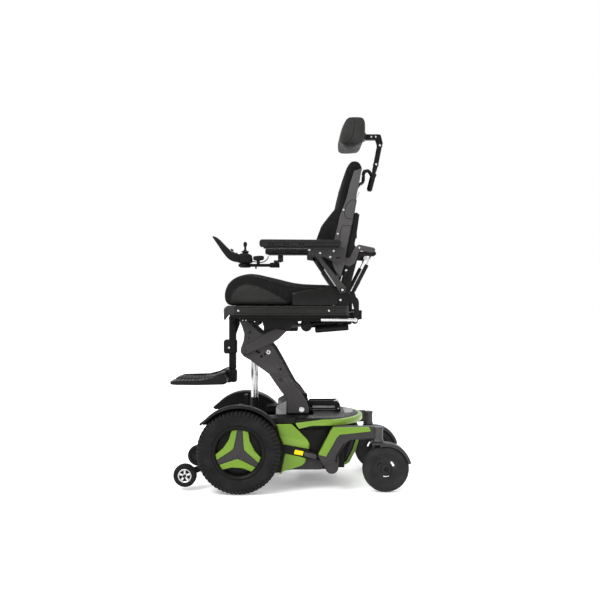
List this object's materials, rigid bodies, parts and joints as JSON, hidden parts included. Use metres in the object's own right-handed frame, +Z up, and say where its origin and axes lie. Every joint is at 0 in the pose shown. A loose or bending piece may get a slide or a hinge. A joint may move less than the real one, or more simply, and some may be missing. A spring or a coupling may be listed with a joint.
{
  "type": "power wheelchair",
  "caption": "Rear-caster power wheelchair with raised seat lift, tilt and recline, headrest, flip-up armrests, joystick, centre leg rest and large drive wheels.",
  "frame": {"origin": "centre of the object's footprint, on the floor under the wheels", "axes": "-X is the front, the way the user faces; +Y is the user's right; +Z is up"},
  "size_m": [1.051, 0.616, 1.632],
  "materials": {
    "black_metal": "satin black powder coat",
    "dark_grey_metal": "dark grey powder coat",
    "mid_grey_metal": "grey powder coat",
    "shell_grey": "fine matte grey",
    "black_plastic": "fine moulded texture",
    "green_plastic": "lime green, gloss",
    "tyre_rubber": "matt rubber with tread",
    "caster_rubber": "matt solid rubber",
    "cable_rubber": "black sheath",
    "chrome_rod": "polished chrome",
    "steel": "satin steel",
    "seat_fabric": "black knitted cover",
    "pad_skin": "moulded soft skin",
    "headrest_cover": "smooth dark grey cover"
  },
  "bodies": {
    "base": {"chassis_frame": "black_metal", "top_cover": "black_plastic", "trim_ring": "green_plastic", "rear_rail": "black_metal", "side_panel_left": "green_plastic", "side_panel_right": "green_plastic", "fender_left": "black_plastic", "fender_right": "black_plastic", "battery_left": "black_plastic", "battery_right": "black_plastic", "drive_motor_left": "black_metal", "drive_motor_right": "black_metal", "antitip_arm_left": "black_metal", "antitip_arm_right": "black_metal"},
    "drive_wheel_left": {"drive_tyre_left": "tyre_rubber", "drive_rim_left": "black_metal"},
    "antitip_wheel_left": {"antitip_wheel_left": "caster_rubber"},
    "caster_arm_left": {"caster_arm_left": "black_metal"},
    "caster_fork_left": {"caster_fork_left": "black_metal"},
    "caster_wheel_left": {"caster_wheel_left": "caster_rubber"},
    "recline_cylinder_left": {"recline_cylinder_left": "black_metal"},
    "recline_rod_left": {"recline_rod_left": "steel"},
    "footplate_left": {"footplate_left": "black_plastic"},
    "armrest_left": {"armrest_frame_left": "dark_grey_metal", "armrest_pad_left": "pad_skin"},
    "drive_wheel_right": {"drive_tyre_right": "tyre_rubber", "drive_rim_right": "black_metal"},
    "antitip_wheel_right": {"antitip_wheel_right": "caster_rubber"},
    "caster_arm_right": {"caster_arm_right": "black_metal"},
    "caster_fork_right": {"caster_fork_right": "black_metal"},
    "caster_wheel_right": {"caster_wheel_right": "caster_rubber"},
    "recline_cylinder_right": {"recline_cylinder_right": "black_metal"},
    "recline_rod_right": {"recline_rod_right": "steel"},
    "footplate_right": {"footplate_right": "black_plastic"},
    "armrest_right": {"armrest_frame_right": "dark_grey_metal", "armrest_pad_right": "pad_skin"},
    "lift_arm": {"lift_arm": "dark_grey_metal"},
    "lift_link": {"lift_link": "dark_grey_metal"},
    "seat_carrier": {"seat_carrier": "mid_grey_metal"},
    "actuator_housing": {"actuator_housing": "black_metal"},
    "actuator_tube": {"actuator_tube": "black_metal"},
    "actuator_rod": {"actuator_rod": "chrome_rod"},
    "tilt_actuator_body": {"tilt_actuator_body": "black_metal"},
    "tilt_actuator_rod": {"tilt_actuator_rod": "steel"},
    "headrest_bar": {"headrest_bar": "black_metal"},
    "headrest_link": {"headrest_link": "black_metal"},
    "legrest_mast": {"legrest_mast": "black_metal"},
    "legrest_slider": {"legrest_slider": "black_metal"},
    "joystick_gimbal": {"joystick_gimbal": "black_plastic"},
    "joystick_lever": {"joystick_lever": "black_plastic"},
    "seat": {"seat_frame": "black_metal", "seat_cushion": "seat_fabric"},
    "back": {"back_frame": "black_metal", "back_shell": "shell_grey", "back_cushion": "seat_fabric"},
    "headrest": {"headrest_bracket": "black_metal", "headrest_pad": "headrest_cover"},
    "joystick_arm": {"joystick_arm": "black_metal", "joystick_box": "black_plastic", "joystick_cable": "cable_rubber"}
  },
  "joints": [
    {"name": "drive_spin_left", "type": "hinge", "parent": "base", "child": "drive_wheel_left", "pos_m": [-0.208, -0.272, 0.178], "axis": [0, 1, 0], "continuous": true},
    {"name": "antitip_spin_left", "type": "hinge", "parent": "base", "child": "antitip_wheel_left", "pos_m": [-0.444, -0.212, 0.066], "axis": [0, 1, 0], "continuous": true},
    {"name": "caster_arm_swing_left", "type": "hinge", "parent": "base", "child": "caster_arm_left", "pos_m": [0.188, -0.232, 0.109], "axis": [0, 1, 0], "range_deg": [0, 10]},
    {"name": "caster_swivel_left", "type": "hinge", "parent": "caster_arm_left", "child": "caster_fork_left", "pos_m": [0.385, -0.232, 0.245], "axis": [0, 0, 1], "continuous": true},
    {"name": "caster_spin_left", "type": "hinge", "parent": "caster_fork_left", "child": "caster_wheel_left", "pos_m": [0.419, -0.232, 0.1], "axis": [0, 1, 0], "continuous": true},
    {"name": "drive_spin_right", "type": "hinge", "parent": "base", "child": "drive_wheel_right", "pos_m": [-0.208, 0.272, 0.178], "axis": [0, 1, 0], "continuous": true},
    {"name": "antitip_spin_right", "type": "hinge", "parent": "base", "child": "antitip_wheel_right", "pos_m": [-0.444, 0.212, 0.066], "axis": [0, 1, 0], "continuous": true},
    {"name": "caster_arm_swing_right", "type": "hinge", "parent": "base", "child": "caster_arm_right", "pos_m": [0.188, 0.232, 0.109], "axis": [0, 1, 0], "range_deg": [0, 10]},
    {"name": "caster_swivel_right", "type": "hinge", "parent": "caster_arm_right", "child": "caster_fork_right", "pos_m": [0.385, 0.232, 0.245], "axis": [0, 0, 1], "continuous": true},
    {"name": "caster_spin_right", "type": "hinge", "parent": "caster_fork_right", "child": "caster_wheel_right", "pos_m": [0.419, 0.232, 0.1], "axis": [0, 1, 0], "continuous": true},
    {"name": "seat_lift", "type": "hinge", "parent": "base", "child": "lift_arm", "pos_m": [0.059, 0, 0.338], "axis": [0, 1, 0], "range_deg": [-52, 0]},
    {"name": "lift_link_swing", "type": "hinge", "parent": "base", "child": "lift_link", "pos_m": [0.073, 0.06, 0.375], "axis": [0, 1, 0], "range_deg": [-52, 0]},
    {"name": "carrier_level", "type": "hinge", "parent": "lift_arm", "child": "seat_carrier", "pos_m": [-0.193, 0, 0.597], "axis": [0, 1, 0], "range_deg": [0, 52]},
    {"name": "actuator_swing", "type": "hinge", "parent": "base", "child": "actuator_housing", "pos_m": [-0.153, 0, 0.122], "axis": [0, 1, 0], "range_deg": [-28.3, 0]},
    {"name": "actuator_tube_slide", "type": "slide", "parent": "actuator_housing", "child": "actuator_tube", "axis": [0.0196, 0, 0.9998], "range_m": [-0.0545, 0]},
    {"name": "actuator_rod_slide", "type": "slide", "parent": "actuator_tube", "child": "actuator_rod", "axis": [0.0196, 0, 0.9998], "range_m": [-0.175, 0]},
    {"name": "seat_tilt", "type": "hinge", "parent": "seat_carrier", "child": "seat", "pos_m": [0.17, 0, 0.741], "axis": [0, 1, 0], "range_deg": [0, 45]},
    {"name": "tilt_actuator_swing", "type": "hinge", "parent": "seat", "child": "tilt_actuator_body", "pos_m": [0.296, -0.1, 0.73], "axis": [0, 1, 0], "range_deg": [-26.8, 0]},
    {"name": "tilt_actuator_slide", "type": "slide", "parent": "tilt_actuator_body", "child": "tilt_actuator_rod", "axis": [-0.9967, 0, -0.0808], "range_m": [-0.0385, 0]},
    {"name": "back_recline", "type": "hinge", "parent": "seat", "child": "back", "pos_m": [0.233, 0, 0.865], "axis": [0, 1, 0], "range_deg": [0, 60]},
    {"name": "recline_cylinder_swing_left", "type": "hinge", "parent": "seat", "child": "recline_cylinder_left", "pos_m": [0.279, -0.184, 0.85], "axis": [0, 1, 0], "range_deg": [0, 71.3]},
    {"name": "recline_rod_slide_left", "type": "slide", "parent": "recline_cylinder_left", "child": "recline_rod_left", "axis": [0.4575, 0, 0.8892], "range_m": [-0.035, 0]},
    {"name": "armrest_flip_left", "type": "hinge", "parent": "seat", "child": "armrest_left", "pos_m": [0.233, -0.237, 0.865], "axis": [0, 1, 0], "range_deg": [0, 95]},
    {"name": "recline_cylinder_swing_right", "type": "hinge", "parent": "seat", "child": "recline_cylinder_right", "pos_m": [0.279, 0.184, 0.85], "axis": [0, 1, 0], "range_deg": [0, 71.3]},
    {"name": "recline_rod_slide_right", "type": "slide", "parent": "recline_cylinder_right", "child": "recline_rod_right", "axis": [0.4575, 0, 0.8892], "range_m": [-0.035, 0]},
    {"name": "armrest_flip_right", "type": "hinge", "parent": "seat", "child": "armrest_right", "pos_m": [0.233, 0.237, 0.865], "axis": [0, 1, 0], "range_deg": [0, 95]},
    {"name": "headrest_height", "type": "slide", "parent": "back", "child": "headrest_bar", "axis": [0.2463, 0, 0.9692], "range_m": [0, 0.06]},
    {"name": "headrest_link_swing", "type": "hinge", "parent": "headrest_bar", "child": "headrest_link", "pos_m": [0.4, 0, 1.443], "axis": [0, 1, 0], "range_deg": [-8, 30]},
    {"name": "headrest_tilt", "type": "hinge", "parent": "headrest_link", "child": "headrest", "pos_m": [0.417, 0, 1.53], "axis": [0, 1, 0], "range_deg": [-8, 25]},
    {"name": "legrest_elevate", "type": "hinge", "parent": "seat", "child": "legrest_mast", "pos_m": [-0.257, 0, 0.738], "axis": [0, 1, 0], "range_deg": [0, 60]},
    {"name": "legrest_extend", "type": "slide", "parent": "legrest_mast", "child": "legrest_slider", "axis": [0, 0, -1], "range_m": [0, 0.05]},
    {"name": "footplate_fold_left", "type": "hinge", "parent": "legrest_slider", "child": "footplate_left", "pos_m": [-0.266, -0.03, 0.488], "axis": [0, 1, 0], "range_deg": [0, 80]},
    {"name": "footplate_fold_right", "type": "hinge", "parent": "legrest_slider", "child": "footplate_right", "pos_m": [-0.266, 0.03, 0.488], "axis": [0, 1, 0], "range_deg": [0, 80]},
    {"name": "joystick_swing", "type": "hinge", "parent": "armrest_right", "child": "joystick_arm", "pos_m": [-0.066, 0.268, 0.995], "axis": [0, 0, -1], "range_deg": [0, 90]},
    {"name": "joystick_side", "type": "hinge", "parent": "joystick_arm", "child": "joystick_gimbal", "pos_m": [-0.219, 0.268, 1.04], "axis": [1, 0, 0], "range_deg": [-18, 18], "stiffness_Nm_per_rad": 0.3},
    {"name": "joystick_fore_aft", "type": "hinge", "parent": "joystick_gimbal", "child": "joystick_lever", "pos_m": [-0.219, 0.268, 1.04], "axis": [0, 1, 0], "range_deg": [-18, 18], "stiffness_Nm_per_rad": 0.3}
  ],
  "couplings": [
    {"joint": "lift_link_swing", "follows": "seat_lift", "ratio": 1},
    {"joint": "carrier_level", "follows": "seat_lift", "ratio": -1},
    {"joint": "actuator_swing", "follows": "seat_lift", "ratio": 0.54147},
    {"joint": "actuator_tube_slide", "follows": "seat_lift", "m_per_rad": 0.059499},
    {"joint": "actuator_rod_slide", "follows": "seat_lift", "m_per_rad": 0.1923},
    {"joint": "tilt_actuator_swing", "follows": "seat_tilt", "ratio": -0.58963},
    {"joint": "tilt_actuator_slide", "follows": "seat_tilt", "m_per_rad": -0.048574},
    {"joint": "recline_cylinder_swing_left", "follows": "back_recline", "ratio": 1.1835},
    {"joint": "recline_rod_slide_left", "follows": "back_recline", "m_per_rad": -0.033011},
    {"joint": "recline_cylinder_swing_right", "follows": "back_recline", "ratio": 1.1835},
    {"joint": "recline_rod_slide_right", "follows": "back_recline", "m_per_rad": -0.033011}
  ]
}
